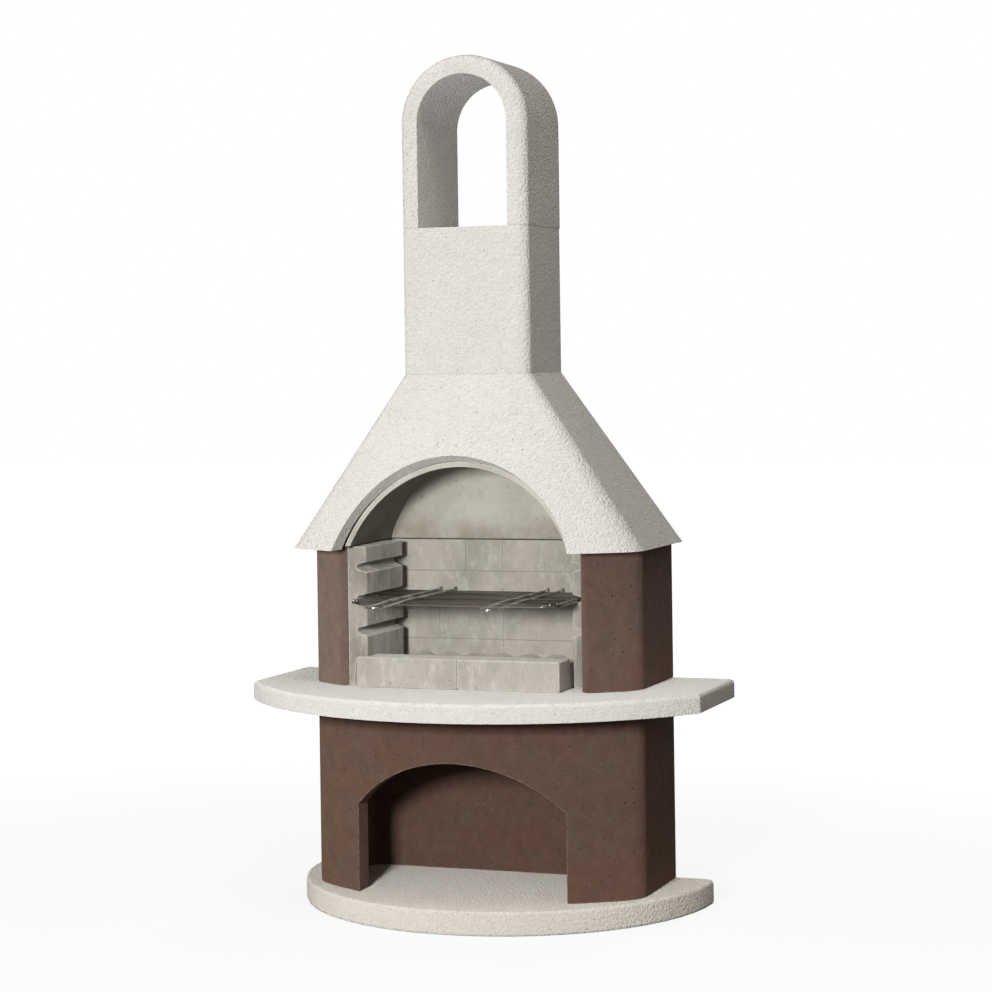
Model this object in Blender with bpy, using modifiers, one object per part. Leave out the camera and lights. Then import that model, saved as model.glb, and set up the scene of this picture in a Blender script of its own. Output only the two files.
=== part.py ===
"""Garden fireplace barbecue, built up from cast concrete blocks.

A half-round base carries an arched wood store, a table slab and a firebox between
two cheeks. A hood with an inner vault, a flue block and a chimney arch stand on top.
The wire cooking grid slides forwards out of the grooves of the fireclay lining.

Lengths are in metres. Depths are measured forwards from the flat back of the blocks,
and the origin lies on the ground, in the middle of the table slab's outline.
"""

import math
from collections import namedtuple

import bmesh
import bpy
from mathutils import Matrix, Vector

# Dry joint between two blocks, and the overrun of every cut
joint = 0.0003
overrun = 0.02

# Heights of the courses, from the ground up
base_height = 0.061
body_height = 0.476
table_height = 0.048
firebox_height = 0.354
hood_height = 0.446
flue_height = 0.375
chimney_height = 0.44

# Base slab, a half-round plan on short straight sides
base_half_width = 0.55
base_side = 0.028
base_rear_corner = 0.025
base_edge = 0.008

# Wood store and cheeks share one plan: straight sides and a bowed front
body_half_width = 0.445
body_side = 0.306
body_reach = 0.479
body_corner = 0.09
body_rear_corner = 0.012
body_wall = 0.058
body_inner_corner = 0.02

# Arched opening of the wood store
store_half_width = 0.2805
store_springing = 0.225
store_rise = 0.122

# Table slab
table_half_width = 0.609
table_side = 0.337
table_reach = 0.678
table_corner = 0.014
table_rear_corner = 0.012
table_top_edge = 0.011

# Firebox between the cheeks
firebox_half_width = 0.3136
cheek_nose = 0.018
back_wall_thickness = 0.0415

# Fireclay lining
lining_thickness = 0.05
lining_depth = 0.255
lining_height = 0.3587
lining_nose = 0.012
left_lining_front = 0.387
back_lining_thickness = 0.038
score_width = 0.003
score_depth = 0.0015
lower_score = 0.095
middle_score = 0.188
upper_score = 0.276
left_bond_shares = ((0, 0.575), (2, 0.33))
right_bond_shares = ((1, 0.752),)
lower_groove = 0.146
middle_groove = 0.228
upper_groove = 0.31
groove_depth = 0.025
groove_mouth_above = 0.009
groove_mouth_below = 0.017
groove_tip_above = 0.003
groove_tip_below = 0.008

# Curb bricks in front of the hearth
curb_front = 0.405
curb_shift = 0.0103
brick_length = 0.274
brick_depth = 0.09
brick_height = 0.077
brick_edge = 0.004

# Hearth plate: a ribbed plate on two feet
hearth_side_gap = 0.003
hearth_thickness = 0.02
hearth_foot_height = 0.028
hearth_foot_width = 0.03
hearth_rib_height = 0.012
hearth_ribs = 7

# Chimney: plan of the flue block and of the arch on top of it
flue_half_width = 0.171
flue_back = 0.05
flue_front = 0.345
flue_corner = 0.03
flue_wall = 0.05
flue_inner_corner = 0.012

# Hood: eave plan, walls and the arched mouth with its draft
eave_half_width = 0.473
eave_side = 0.387
eave_reach = 0.555
eave_corner = 0.09
eave_rear_corner = 0.006
hood_wall = 0.04
hood_front_wall = 0.056
hood_inner_corner = 0.02
mouth_half_width = 0.316
mouth_rise = 0.241
mouth_inner_half_width = 0.3136
mouth_inner_rise = 0.224

# Vault inside the hood
vault_wall = 0.0135
vault_back_wall = 0.012
vault_gap = 0.005
vault_front_gap = 0.006
vault_back_half_width = 0.331
vault_back_rise = 0.262
outlet_half_width = 0.09
outlet_back = 0.12
outlet_front = 0.27

# Cooking grid
grid_frame_radius = 0.003
grid_wire_radius = 0.002
grid_loop_radius = 0.0025
grid_overlap = 0.0005
grid_half_width = 0.279
grid_back = 0.105
grid_front = 0.47
grid_corner = 0.032
grid_wire_pitch = 0.0148
loop_centre = 0.15
loop_half_width = 0.021
loop_reach = 0.15
loop_drop = 0.004
loop_tail = 0.012
loop_tail_rise = 0.004

# Levels that follow from the heights
body_level = base_height
table_level = body_level + body_height
firebox_level = table_level + table_height
eave_level = firebox_level + firebox_height
flue_level = eave_level + hood_height
chimney_level = flue_level + flue_height
top_level = chimney_level + chimney_height

# The flat back lies half of the table's depth behind the origin
back_plane = table_reach / 2

# Steps of the arcs
front_steps = 14
corner_steps = 7
rear_steps = 2
mouth_segments = 72
hood_rings = 6

Circle = namedtuple("Circle", "radius level")
Plan = namedtuple("Plan", "half_width side reach corner rear_corner")
base_plan = Plan(base_half_width, base_side, base_side + base_half_width, base_edge, base_rear_corner)
body_plan = Plan(body_half_width, body_side, body_reach, body_corner, body_rear_corner)
table_plan = Plan(table_half_width, table_side, table_reach, table_corner, table_rear_corner)
eave_plan = Plan(eave_half_width, eave_side, eave_reach, eave_corner, eave_rear_corner)

white_concrete = ((0.80, 0.78, 0.74, 1.0), 0.92, 0.0)
table_concrete = ((0.72, 0.71, 0.68, 1.0), 0.9, 0.0)
brown_concrete = ((0.175, 0.115, 0.095, 1.0), 0.85, 0.0)
fireclay = ((0.50, 0.47, 0.42, 1.0), 0.9, 0.0)
chromed_wire = ((0.62, 0.61, 0.60, 1.0), 0.22, 1.0)


def clear_scene():
    """Remove the objects and collections that the scene holds."""
    for old in list(bpy.data.objects):
        bpy.data.objects.remove(old, do_unlink=True)
    for old in list(bpy.data.collections):
        bpy.data.collections.remove(old)


def new_collection(name):
    """Return a new collection linked to the scene."""
    collection = bpy.data.collections.new(name)
    bpy.context.scene.collection.children.link(collection)
    return collection


def finish(obj, look):
    """Give an object a material of its own from a colour, roughness and metallic value."""
    colour, roughness, metallic = look
    material = bpy.data.materials.new(obj.name + "_finish")
    material.use_nodes = True
    shader = material.node_tree.nodes["Principled BSDF"]
    shader.inputs["Base Color"].default_value = colour
    shader.inputs["Roughness"].default_value = roughness
    shader.inputs["Metallic"].default_value = metallic
    material.diffuse_color = colour
    obj.data.materials.clear()
    obj.data.materials.append(material)


def add_object(name, data, collection, location=(0, 0, 0), rotation=(0, 0, 0)):
    """Link a new object with the given data."""
    obj = bpy.data.objects.new(name, data)
    obj.location = location
    obj.rotation_euler = rotation
    collection.objects.link(obj)
    return obj


def hang_on(obj, parent):
    """Parent an object and keep it where it stands."""
    bpy.context.view_layer.update()
    obj.parent = parent
    obj.matrix_parent_inverse = parent.matrix_world.inverted()


def make_cutter(obj):
    """Hide a helper from the render and draw it as wires."""
    obj.hide_render = True
    obj.display_type = "WIRE"
    return obj


def combine(obj, tool, operation="DIFFERENCE"):
    """Add an exact Boolean modifier with the given tool."""
    modifier = obj.modifiers.new(operation.title() + "_" + tool.name, "BOOLEAN")
    modifier.operation = operation
    modifier.solver = "EXACT"
    modifier.object = tool


def join_flat_faces(obj, angle_share=1 / 1800):
    """Join neighbouring faces that lie in one plane."""
    work = bmesh.new()
    work.from_mesh(obj.data)
    bmesh.ops.dissolve_limit(work, angle_limit=math.pi * angle_share, verts=work.verts, edges=work.edges)
    work.to_mesh(obj.data)
    work.free()


def ease(obj, width, segments, chosen):
    """Round the edges for which chosen(first point, second point) is true."""
    join_flat_faces(obj)
    mesh = obj.data
    weights = mesh.attributes.new("bevel_weight_edge", "FLOAT", "EDGE")
    for edge in mesh.edges:
        first, second = (mesh.vertices[index].co for index in edge.vertices)
        weights.data[edge.index].value = 1.0 if chosen(first, second) else 0.0
    modifier = obj.modifiers.new("Eased edges", "BEVEL")
    modifier.limit_method = "WEIGHT"
    modifier.width = width
    modifier.segments = segments
    modifier.use_clamp_overlap = False


def shade(obj, angle_share=1 / 6):
    """Shade smooth, with sharp edges past a share of a half turn."""
    obj.data.shade_smooth()
    obj.data.set_sharp_from_angle(angle=math.pi * angle_share)


def mesh_from_curve(obj, collection, weld):
    """Turn a curve object into a welded mesh object of the same name and place."""
    bpy.context.view_layer.update()
    graph = bpy.context.evaluated_depsgraph_get()
    mesh = bpy.data.meshes.new_from_object(obj.evaluated_get(graph))
    matrix = obj.matrix_world.copy()
    name = obj.name
    bpy.data.objects.remove(obj, do_unlink=True)
    work = bmesh.new()
    work.from_mesh(mesh)
    bmesh.ops.remove_doubles(work, verts=work.verts, dist=weld)
    bmesh.ops.dissolve_degenerate(work, dist=weld, edges=work.edges)
    bmesh.ops.recalc_face_normals(work, faces=work.faces)
    work.to_mesh(mesh)
    work.free()
    result = bpy.data.objects.new(name, mesh)
    result.matrix_world = matrix
    collection.objects.link(result)
    return result


def outlined(name, outlines, thickness, collection, location, rotation=(0, 0, 0)):
    """Return the solid between flat outlines, centred on its location across the thickness."""
    curve = bpy.data.curves.new(name, "CURVE")
    curve.dimensions = "2D"
    curve.fill_mode = "BOTH"
    curve.extrude = thickness / 2
    for outline in outlines:
        spline = curve.splines.new("POLY")
        spline.points.add(len(outline) - 1)
        for point, (across, along) in zip(spline.points, outline):
            point.co = (across, along, 0, 1)
        spline.use_cyclic_u = True
    obj = add_object(name, curve, collection, location, rotation)
    return mesh_from_curve(obj, collection, joint / 3)


def slab(name, outlines, bottom, top, collection):
    """Return a block with an upright outline, whose local y runs from the flat back."""
    place = (0, back_plane, (bottom + top) / 2)
    return outlined(name, outlines, top - bottom, collection, place)


def section(name, outline, back, front, level, collection, across=0):
    """Return a block with one section, given as width and height, from back to front depth."""
    place = (across, back_plane - (back + front) / 2, level)
    return outlined(name, [outline], front - back, collection, place, (math.pi / 2, 0, 0))


def box(name, low, high, collection):
    """Return a box between two corners, in width, depth from the back and height."""
    centre = [(a + b) / 2 for a, b in zip(low, high)]
    size = [b - a for a, b in zip(low, high)]
    work = bmesh.new()
    bmesh.ops.create_cube(work, size=1, matrix=Matrix.Diagonal((*size, 1)))
    mesh = bpy.data.meshes.new(name)
    work.to_mesh(mesh)
    work.free()
    return add_object(name, mesh, collection, (centre[0], back_plane - centre[1], centre[2]))


def frustum(name, back, front, back_circle, front_circle, collection):
    """Return the solid between a circle, as radius and level, at the back and one in front."""
    work = bmesh.new()
    bmesh.ops.create_cone(work, cap_ends=True, segments=mouth_segments, radius1=front_circle.radius,
                          radius2=back_circle.radius, depth=front - back,
                          matrix=Matrix.Rotation(-math.pi / 2, 4, "X"))
    for vertex in work.verts:
        if vertex.co.y > 0:
            vertex.co.z += back_circle.level - front_circle.level
    mesh = bpy.data.meshes.new(name)
    work.to_mesh(mesh)
    work.free()
    place = (0, back_plane - (back + front) / 2, front_circle.level)
    return add_object(name, mesh, collection, place)


def arc(centre, radius, start, end, steps):
    """Return the points of an arc between two angles."""
    points = []
    for index in range(steps + 1):
        angle = start + (end - start) * index / steps
        points.append((centre[0] + radius * math.cos(angle), centre[1] + radius * math.sin(angle)))
    return points


def bow_radius(half_width, rise):
    """Return the radius of the arc with this half chord and rise."""
    return (half_width ** 2 + rise ** 2) / (2 * rise)


def both_halves(half):
    """Close a right half, which starts in the middle of the front, with its mirror image."""
    return half + [(-across, along) for across, along in reversed(half[1:])]


def bowed_outline(plan, wall=0, front_wall=None, inner_corner=0):
    """Return the outline of a plan with straight sides and a bowed front, less its walls."""
    if front_wall is None:
        front_wall = wall
    full = bow_radius(plan.half_width, plan.reach - plan.side)
    centre = full - plan.reach
    radius = full - front_wall
    half_width = plan.half_width - wall
    corner = max(plan.corner - wall, inner_corner)
    rear = max(plan.rear_corner - wall, inner_corner)
    corner_depth = math.sqrt(max((radius - corner) ** 2 - (half_width - corner) ** 2, 0))
    turn = -math.atan2(corner_depth, half_width - corner)
    half = arc((0, centre), radius, -math.pi / 2, turn, front_steps)
    half += arc((half_width - corner, centre - corner_depth), corner, turn, 0, corner_steps)
    half += arc((half_width - rear, -wall - rear), rear, 0, math.pi / 2, rear_steps)
    return both_halves(half)


def flue_outline(wall=0, inner_corner=0, front_wall=None):
    """Return the rounded rectangle of the flue, less its walls, point for point like a bowed plan."""
    if front_wall is None:
        front_wall = wall
    half_width = flue_half_width - wall
    corner = max(flue_corner - wall, inner_corner)
    front = front_wall - flue_front
    back = -flue_back - wall
    half = [((half_width - corner) * index / front_steps, front) for index in range(front_steps + 1)]
    half += arc((half_width - corner, front + corner), corner, -math.pi / 2, 0, corner_steps)
    half += arc((half_width - corner, back - corner), corner, 0, math.pi / 2, rear_steps)
    return both_halves(half)


def blend(low, high, share):
    """Return the outline that lies at a share of the way between two outlines."""
    return [(a[0] + (b[0] - a[0]) * share, a[1] + (b[1] - a[1]) * share) for a, b in zip(low, high)]


def loft(name, low, high, bottom, top, collection):
    """Return the solid between two unlike outlines with as many points, in level rings."""
    work = bmesh.new()
    rings = []
    for step in range(hood_rings + 1):
        share = step / hood_rings
        height = bottom + (top - bottom) * share
        rings.append([work.verts.new((across, along, height)) for across, along in blend(low, high, share)])
    count = len(low)
    for lower, upper in zip(rings, rings[1:]):
        for index in range(count):
            after = (index + 1) % count
            work.faces.new((lower[index], lower[after], upper[after], upper[index]))
    work.faces.new(list(reversed(rings[0])))
    work.faces.new(rings[-1])
    bmesh.ops.remove_doubles(work, verts=work.verts, dist=joint / 3)
    bmesh.ops.recalc_face_normals(work, faces=work.faces)
    mesh = bpy.data.meshes.new(name)
    work.to_mesh(mesh)
    work.free()
    return add_object(name, mesh, collection, (0, back_plane, 0))


def on_rim(height_side):
    """Return a test for edges on the upper (1) or lower (-1) rim of a centred slab."""
    def chosen(first, second):
        return first.z * height_side > 0 and second.z * height_side > 0
    return chosen


def tube(name, points, radius, resolution, cyclic, collection, place):
    """Return a wire along points as a closed mesh."""
    curve = bpy.data.curves.new(name, "CURVE")
    curve.dimensions = "3D"
    curve.bevel_depth = radius
    curve.bevel_resolution = resolution
    curve.use_fill_caps = not cyclic
    spline = curve.splines.new("POLY")
    spline.points.add(len(points) - 1)
    for point, position in zip(spline.points, points):
        point.co = (*position, 1)
    spline.use_cyclic_u = cyclic
    obj = add_object(name, curve, collection, place)
    return mesh_from_curve(obj, collection, radius / 50)


def make_base(parts):
    """Return the half-round base slab with eased rims."""
    base = slab("base_slab", [bowed_outline(base_plan)], 0, base_height, parts)
    ease(base, base_edge, 2, lambda first, second: on_rim(1)(first, second) or on_rim(-1)(first, second))
    return base


def make_wood_store(parts, cutters):
    """Return the hollow wood store with its arched front opening."""
    outer = bowed_outline(body_plan)
    inner = bowed_outline(body_plan, body_wall, inner_corner=body_inner_corner)
    store = slab("wood_store", [outer, inner], body_level + joint, table_level, parts)
    radius = bow_radius(store_half_width, store_rise)
    swing = math.asin(store_half_width / radius)
    crown = store_springing + store_rise
    arch = arc((0, crown - radius), radius, math.pi / 2 - swing, math.pi / 2 + swing, 2 * front_steps)
    arch += [(-store_half_width, -overrun), (store_half_width, -overrun)]
    inside = body_side - body_corner
    cut = section("store_opening", arch, inside, body_reach + overrun, body_level + joint, cutters)
    combine(store, make_cutter(cut))
    return store


def make_table(parts):
    """Return the table slab, with a rounded top rim and a crisper lower one."""
    table = slab("table_slab", [bowed_outline(table_plan)], table_level + joint, firebox_level, parts)
    ease(table, table_top_edge, 2, on_rim(1))
    return table


def cheek_outline(side):
    """Return the outline of one cheek: the bowed plan outside the firebox, with a round nose."""
    radius = bow_radius(body_plan.half_width, body_plan.reach - body_plan.side)
    centre = radius - body_plan.reach
    nose_across = firebox_half_width + cheek_nose
    nose_depth = math.sqrt((radius - cheek_nose) ** 2 - nose_across ** 2)
    nose_turn = -math.atan2(nose_depth, nose_across)
    corner_across = body_half_width - body_corner
    corner_depth = math.sqrt((radius - body_corner) ** 2 - corner_across ** 2)
    corner_turn = -math.atan2(corner_depth, corner_across)
    points = [(firebox_half_width, 0)]
    points += arc((nose_across, centre - nose_depth), cheek_nose, -math.pi, nose_turn, corner_steps)
    points += arc((0, centre), radius, nose_turn, corner_turn, corner_steps)[1:]
    points += arc((corner_across, centre - corner_depth), body_corner, corner_turn, 0, corner_steps)[1:]
    rear = body_rear_corner
    points += arc((body_half_width - rear, -rear), rear, 0, math.pi / 2, rear_steps)
    return [(side * across, along) for across, along in points]


def make_cheeks(parts):
    """Return the left and the right cheek of the firebox."""
    cheeks = []
    for name, side in (("left_cheek", -1), ("right_cheek", 1)):
        cheeks.append(slab(name, [cheek_outline(side)], firebox_level + joint, eave_level, parts))
    return cheeks


def make_back_wall(parts):
    """Return the wall that closes the firebox between the cheeks."""
    half_width = firebox_half_width - joint
    low = (-half_width, 0, firebox_level + joint)
    high = (half_width, back_wall_thickness, eave_level)
    return box("back_wall", low, high, parts)


def groove_outline(height):
    """Return the four points of one groove, as depth into the lining and height."""
    return [(0, height - groove_mouth_below), (groove_depth, height - groove_tip_below),
            (groove_depth, height + groove_tip_above), (0, height + groove_mouth_above)]


def make_side_linings(parts):
    """Return the side linings, the right one against the back wall, with three grooves in each."""
    outer = firebox_half_width - joint
    inner = outer - lining_thickness
    back = back_wall_thickness + joint
    fronts = (("left_lining", -1, left_lining_front), ("right_lining", 1, back + lining_depth))
    linings = []

    def front_arris(first, second):
        inside = max(abs(first.x), abs(second.x)) < inner + joint
        return inside and min(first.z, second.z) > 0

    for name, side, front in fronts:
        outline = [(outer, 0), (inner, 0)]
        for height in (lower_groove, middle_groove, upper_groove):
            outline += [(inner + into, up) for into, up in groove_outline(height)]
        outline += [(inner, lining_height), (outer, lining_height)]
        outline = [(side * across, up) for across, up in outline]
        level = firebox_level + joint
        lining = section(name, outline, front - lining_depth, front, level, parts)
        ease(lining, lining_nose, 3, front_arris)
        linings.append(lining)
    return linings


def make_back_linings(parts, cutters):
    """Return the two rear lining plates, scored like a wall of bricks."""
    back = back_wall_thickness + joint
    front = back + back_lining_thickness
    bottom = firebox_level + joint
    far_left = joint - firebox_half_width
    far_right = firebox_half_width - lining_thickness - 2 * joint
    scores = (lower_score, middle_score, upper_score, lining_height + overrun)
    plates = []
    for name, side, sides, bonds in (
            ("left_back_lining", -1, (far_left, -joint), left_bond_shares),
            ("right_back_lining", 1, (joint, far_right), right_bond_shares)):
        plate = box(name, (sides[0], back, bottom), (sides[1], front, bottom + lining_height), parts)
        width = sides[1] - sides[0]
        for height in scores[:-1]:
            low = (sides[0] - overrun, front - score_depth, bottom + height - score_width / 2)
            high = (sides[1] + overrun, front + overrun, bottom + height + score_width / 2)
            combine(plate, make_cutter(box(name + "_bed_score", low, high, cutters)))
        for row, share in bonds:
            across = side * (joint + width * share)
            low = (across - score_width / 2, front - score_depth, bottom + scores[row])
            high = (across + score_width / 2, front + overrun, bottom + scores[row + 1])
            combine(plate, make_cutter(box(name + "_end_score", low, high, cutters)))
        plates.append(plate)
    return plates


def make_hearth(parts):
    """Return the ribbed hearth plate on its two feet."""
    half_width = firebox_half_width - joint - lining_thickness - hearth_side_gap
    pitch = 2 * half_width / hearth_ribs
    steps = 6
    valley = hearth_foot_height + hearth_thickness
    outline = [(-half_width, 0)]
    for index in range(hearth_ribs * steps + 1):
        swell = abs(math.sin(math.pi * index / steps))
        outline.append((-half_width + pitch * index / steps, valley + hearth_rib_height * swell))
    foot = half_width - hearth_foot_width
    outline += [(half_width, 0), (foot, 0), (foot, hearth_foot_height)]
    outline += [(-foot, hearth_foot_height), (-foot, 0)]
    back = back_wall_thickness + back_lining_thickness + 2 * joint
    front = curb_front - brick_depth - joint
    return section("hearth_plate", outline, back, front, firebox_level + joint, parts)


def make_curb(parts):
    """Return the two curb bricks; the left one is notched to clear the left lining."""
    back = curb_front - brick_depth
    step = left_lining_front + joint
    inside = 2 * joint + lining_thickness - firebox_half_width
    ends = [-curb_shift - joint - brick_length, -curb_shift - joint,
            joint - curb_shift, joint - curb_shift + brick_length]
    notched = [(ends[0], -step), (ends[0], -curb_front), (ends[1], -curb_front),
               (ends[1], -back), (inside, -back), (inside, -step)]
    plain = [(ends[2], -back), (ends[2], -curb_front), (ends[3], -curb_front), (ends[3], -back)]
    bottom = firebox_level + joint
    bricks = []
    for name, outline in (("left_curb_brick", notched), ("right_curb_brick", plain)):
        brick = slab(name, [outline], bottom, bottom + brick_height, parts)
        ease(brick, brick_edge, 2, lambda first, second: True)
        bricks.append(brick)
    return bricks


def arch_circle(half_width, rise, wall=0):
    """Return the circle of an arch, given by its half width and rise at the eave, less a wall."""
    radius = bow_radius(half_width, rise)
    return Circle(radius - wall, eave_level + rise - radius)


def between(first, second, share):
    """Return the circle at a share of the way from the first to the second one."""
    return Circle(*(a + (b - a) * share for a, b in zip(first, second)))


def mouth_geometry():
    """Return the depth of the mouth's foot and the mouth's lean per height."""
    bow = bow_radius(eave_half_width, eave_reach - eave_side)
    foot = math.sqrt(bow ** 2 - mouth_half_width ** 2) - (bow - eave_reach)
    crown = eave_reach + (flue_front - eave_reach) * mouth_rise / hood_height
    return foot, (foot - crown) / mouth_rise


def lean_back(obj, level, lean):
    """Shear a mesh so that it leans back above a level, which is given in world height."""
    below = level - obj.location.z
    for vertex in obj.data.vertices:
        vertex.co.y += lean * (vertex.co.z - below)


def make_hood(parts, cutters):
    """Return the hood, from the bowed eave to the flue, with its arched mouth."""
    top = flue_level
    bottom = eave_level + joint
    hood = loft("hood", bowed_outline(eave_plan), flue_outline(), bottom, top, parts)
    inner_eave = bowed_outline(eave_plan, hood_wall, hood_front_wall, hood_inner_corner)
    inner_flue = flue_outline(hood_wall, flue_inner_corner, hood_front_wall)
    past = overrun / hood_height
    hollow = loft("hood_hollow", blend(inner_eave, inner_flue, -past),
                  blend(inner_eave, inner_flue, 1 + past), bottom - overrun, top + overrun, cutters)
    combine(hood, make_cutter(hollow))
    foot, lean = mouth_geometry()
    outside = arch_circle(mouth_half_width, mouth_rise)
    inside = arch_circle(mouth_inner_half_width, mouth_inner_rise)
    before = 3
    behind = 2
    mouth = frustum("hood_mouth", foot - hood_front_wall * behind, foot + hood_front_wall * before,
                    between(outside, inside, behind), between(outside, inside, -before), cutters)
    lean_back(mouth, eave_level, lean)
    combine(hood, make_cutter(mouth))
    seat = Circle(inside.radius + vault_gap, inside.level + vault_gap)
    rebate = frustum("vault_rebate", foot - hood_front_wall * behind,
                     foot - hood_front_wall - vault_gap, seat, seat, cutters)
    lean_back(rebate, eave_level, lean)
    combine(hood, make_cutter(rebate))
    return hood


def make_vault(parts, cutters):
    """Return the vault inside the hood: a widening barrel with a back plate and a smoke outlet."""
    foot, lean = mouth_geometry()
    bottom = firebox_level + lining_height + 2 * joint
    near = (mouth_inner_half_width - vault_gap, mouth_inner_rise - vault_gap)
    far = (vault_back_half_width, vault_back_rise)
    crown_share = vault_back_rise / hood_height
    back = hood_wall + flue_back * crown_share + vault_gap / 2
    front = foot - hood_front_wall - vault_front_gap
    past = overrun / (front - back)
    start = vault_back_wall / (front - back)
    outer = (arch_circle(*far), arch_circle(*near))
    inner = (arch_circle(*far, vault_wall), arch_circle(*near, vault_wall))
    vault = frustum("hood_vault", back, front + overrun, outer[0], between(*outer, 1 + past), parts)
    hollow = frustum("vault_hollow", back + vault_back_wall, front + 2 * overrun,
                     between(*inner, start), between(*inner, 1 + 2 * past), cutters)
    combine(vault, make_cutter(hollow))
    wide = vault_back_half_width * 2
    under = box("vault_underside", (-wide, back - overrun, bottom - wide),
                (wide, front + 2 * overrun, bottom), cutters)
    combine(vault, make_cutter(under))
    before = box("vault_front", (-wide, front, bottom - wide), (wide, front + wide, bottom + wide), cutters)
    lean_back(before, eave_level, lean)
    combine(vault, make_cutter(before))
    outlet = box("smoke_outlet", (-outlet_half_width, outlet_back, bottom + mouth_inner_rise / 2),
                 (outlet_half_width, outlet_front, bottom + wide), cutters)
    combine(vault, make_cutter(outlet))
    return vault


def make_flue(parts):
    """Return the hollow flue block."""
    outlines = [flue_outline(), flue_outline(flue_wall, flue_inner_corner)]
    return slab("flue_block", outlines, flue_level + joint, chimney_level, parts)


def make_chimney_arch(parts):
    """Return the chimney's arched top, open at the front and the back."""
    outer = flue_half_width
    inner = outer - flue_wall
    height = chimney_height - joint
    springing = height - outer
    outline = [(outer, 0)]
    outline += arc((0, springing), outer, 0, math.pi, 2 * front_steps)
    outline += [(-outer, 0), (-inner, 0)]
    outline += arc((0, springing), inner, math.pi, 0, 2 * front_steps)
    outline += [(inner, 0)]
    arch = section("chimney_arch", outline, flue_back, flue_front, chimney_level + joint, parts)
    slack = flue_wall / 4

    def outside(point):
        reach = math.hypot(point.x, max(point.y - springing, 0))
        return reach > outer - slack

    def chosen(first, second):
        same_face = abs(first.z - second.z) < slack
        return same_face and outside(first) and outside(second)

    ease(arch, flue_corner, 5, chosen)
    return arch


def grid_level():
    """Return the height at which the frame wire rests on its groove's sloping lower face."""
    inner = firebox_half_width - joint - lining_thickness
    into = grid_half_width - inner
    rise = (groove_mouth_below - groove_tip_below) / groove_depth
    floor = middle_groove - groove_mouth_below + rise * into
    seat = (grid_frame_radius + joint) * math.hypot(1, rise)
    return firebox_level + joint + floor + seat


def frame_reach(depth):
    """Return the half width of the frame at a depth, less where its corners are cut off."""
    edge = min(depth - grid_back, grid_front - depth)
    return grid_half_width - max(grid_corner - edge, 0)


def make_grid(parts, cutters):
    """Return the wire cooking grid: a frame, its bars and two long handle loops."""
    middle = (grid_back + grid_front) / 2
    place = (0, back_plane - middle, grid_level())
    half_depth = middle - grid_back
    cut = grid_corner
    corners = [(grid_half_width, half_depth - cut), (grid_half_width - cut, half_depth)]
    corners += [(-across, along) for across, along in reversed(corners)]
    corners += [(across, -along) for across, along in reversed(corners)]
    frame = [(across, along, 0) for across, along in corners]
    grid = tube("cooking_grid", frame, grid_frame_radius, 2, True, parts, place)

    work = bmesh.new()
    rise = grid_frame_radius + grid_wire_radius - grid_overlap
    depths = grid_front - grid_back
    count = round(depths / grid_wire_pitch) - 1
    for index in range(count):
        along = depths * (index + 1) / (count + 1)
        reach = frame_reach(grid_back + along) + grid_frame_radius / 2
        turn = Matrix.Rotation(math.pi / 2, 4, "Y")
        shift = Matrix.Translation((0, half_depth - along, rise))
        bmesh.ops.create_cone(work, cap_ends=True, segments=6, radius1=grid_wire_radius,
                              radius2=grid_wire_radius, depth=2 * reach, matrix=shift @ turn)
    mesh = bpy.data.meshes.new("grid_bars")
    work.to_mesh(mesh)
    work.free()
    combine(grid, make_cutter(add_object("grid_bars", mesh, cutters, place)), "UNION")

    loop_rise = rise + grid_wire_radius + grid_loop_radius - 2 * grid_overlap
    for name, side in (("left_loop", -1), ("right_loop", 1)):
        tip = -half_depth - loop_reach
        bend = [(loop_half_width * math.cos(angle), tip + loop_half_width * (1 + math.sin(angle)))
                for angle in (math.pi + math.pi * step / 6 for step in range(7))]
        run = [(-loop_half_width, half_depth + loop_tail, loop_rise + loop_tail_rise)]
        run += [(-loop_half_width, half_depth - loop_tail / 2, loop_rise)]
        run += [(-loop_half_width, -half_depth, loop_rise)]
        run += [(across, along, loop_rise - loop_drop) for across, along in bend]
        run += [(-across, along, up) for across, along, up in reversed(run[:3])]
        points = [(side * loop_centre + across, along, up) for across, along, up in run]
        loop = tube(name, points, grid_loop_radius, 1, False, cutters, place)
        combine(grid, make_cutter(loop), "UNION")
    return grid


def main():
    """Build every piece, dress it and hang it on the barbecue's root."""
    clear_scene()
    parts = new_collection("masonry_barbecue")
    cutters = new_collection("cutters")
    root = add_object("barbecue", None, parts)
    runner = add_object("grid_runner", None, parts, (0, back_plane - grid_front, grid_level()))
    hang_on(runner, root)

    looks = [(make_base(parts), white_concrete)]
    looks.append((make_wood_store(parts, cutters), brown_concrete))
    looks.append((make_table(parts), table_concrete))
    looks += [(cheek, brown_concrete) for cheek in make_cheeks(parts)]
    looks.append((make_back_wall(parts), brown_concrete))
    looks += [(lining, fireclay) for lining in make_side_linings(parts)]
    looks += [(plate, fireclay) for plate in make_back_linings(parts, cutters)]
    looks.append((make_hearth(parts), fireclay))
    looks += [(brick, fireclay) for brick in make_curb(parts)]
    looks.append((make_hood(parts, cutters), white_concrete))
    looks.append((make_vault(parts, cutters), fireclay))
    looks.append((make_flue(parts), white_concrete))
    looks.append((make_chimney_arch(parts), white_concrete))
    grid = make_grid(parts, cutters)

    for obj, look in looks:
        finish(obj, look)
        shade(obj)
        hang_on(obj, root)
    finish(grid, chromed_wire)
    shade(grid)
    hang_on(grid, runner)


main()
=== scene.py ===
"""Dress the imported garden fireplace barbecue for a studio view.

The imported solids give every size. Each block is worked over into a cast piece with
eased, worn arrises, the wire grid is drawn anew from round wire, and every surface
gets a procedural finish in object coordinates.
"""

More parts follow.
